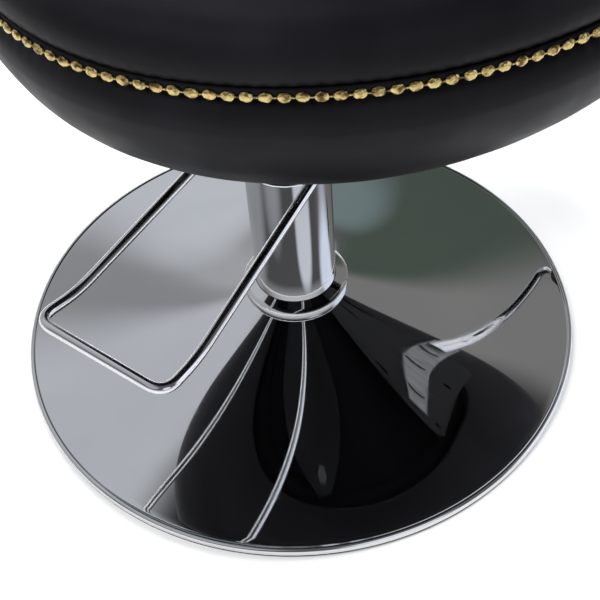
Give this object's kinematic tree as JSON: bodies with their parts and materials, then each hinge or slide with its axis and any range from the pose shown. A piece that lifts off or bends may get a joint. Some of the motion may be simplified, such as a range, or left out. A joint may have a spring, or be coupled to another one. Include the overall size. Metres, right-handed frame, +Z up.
{
  "type": "styling chair",
  "caption": "Salon styling chair: round padded tub seat with nail trim on a chrome column and round dished base, with a bent-rod footrest and a foot pump lever.",
  "frame": {"origin": "middle of the base plate's underside, on the floor", "axes": "+Z up, the chair faces -Y, +X to the left of a person sitting in it"},
  "size_m": [0.672, 0.727, 0.9233],
  "materials": {
    "chrome": "polished chrome plate",
    "cast_iron": "black painted casting",
    "steel": "zinc plated",
    "black_steel": "black powder coat",
    "rubber": "matt",
    "brass": "antique brass",
    "leather": "smooth black upholstery leather",
    "padded_leather": "smooth black upholstery leather over upholstery foam",
    "plywood": "unfinished",
    "black_board": "plywood under a black dust cloth",
    "foam": "seat foam, always covered"
  },
  "bodies": {
    "base": {"base_plate": "cast_iron", "edge_ring": "rubber", "base_cover": "chrome", "collar_ring": "chrome", "column_shroud": "chrome", "shroud_cap": "black_steel", "pump_flange": "cast_iron", "pump_cylinder": "steel", "pressure_tube": "steel", "gland_nut": "steel", "wiper_seal": "rubber", "flange_bolt_1": "steel", "flange_bolt_2": "steel", "flange_bolt_3": "steel", "flange_bolt_4": "steel"},
    "ram": {"pump_ram": "chrome", "ram_piston": "steel", "ram_head": "steel", "thrust_ring": "brass"},
    "lever": {"lever_arm": "black_steel", "lever_strap": "steel", "lever_tube": "chrome", "pedal_grip": "rubber", "strap_bolt_1": "steel", "strap_bolt_2": "steel", "strap_bolt_3": "steel"},
    "plunger": {"plunger": "steel"},
    "seat": {"footrest": "chrome", "swivel_hub": "cast_iron", "lever_pin": "steel", "return_spring": "steel", "plate_bolt_1": "steel", "plate_bolt_2": "steel", "plate_bolt_3": "steel", "plate_bolt_4": "steel", "footrest_bolt_1": "steel", "footrest_bolt_2": "steel", "footrest_bolt_3": "steel", "footrest_bolt_4": "steel", "seat_plate": "black_steel", "nail_trim": "brass", "seat_roll": "padded_leather", "seat_rail": "padded_leather", "seat_cushion": "padded_leather", "inner_pad": "padded_leather", "top_roll": "padded_leather", "left_arm_front": "padded_leather", "right_arm_front": "padded_leather", "outer_cover": "leather", "seat_deck": "plywood", "tub_frame": "plywood", "seat_frame": "black_board", "seat_foam": "foam"}
  },
  "joints": [
    {"name": "seat_lift", "type": "slide", "parent": "base", "child": "ram", "axis": [0, 0, 1], "range_m": [-0.07, 0.08]},
    {"name": "seat_swivel", "type": "hinge", "parent": "ram", "child": "seat", "pos_m": [0, 0, 0.35], "axis": [0, 0, 1], "continuous": true},
    {"name": "pump_lever", "type": "hinge", "parent": "seat", "child": "lever", "pos_m": [0, 0.048, 0.363], "axis": [-1, 0, 0], "range_deg": [0, 10], "stiffness_Nm_per_rad": 30, "springref_deg": -14.32},
    {"name": "plunger_lift", "type": "slide", "parent": "seat", "child": "plunger", "axis": [0, 0, 1], "range_m": [0, 0.0099]}
  ],
  "couplings": [
    {"joint": "plunger_lift", "follows": "pump_lever", "m_per_rad": 0.056}
  ]
}
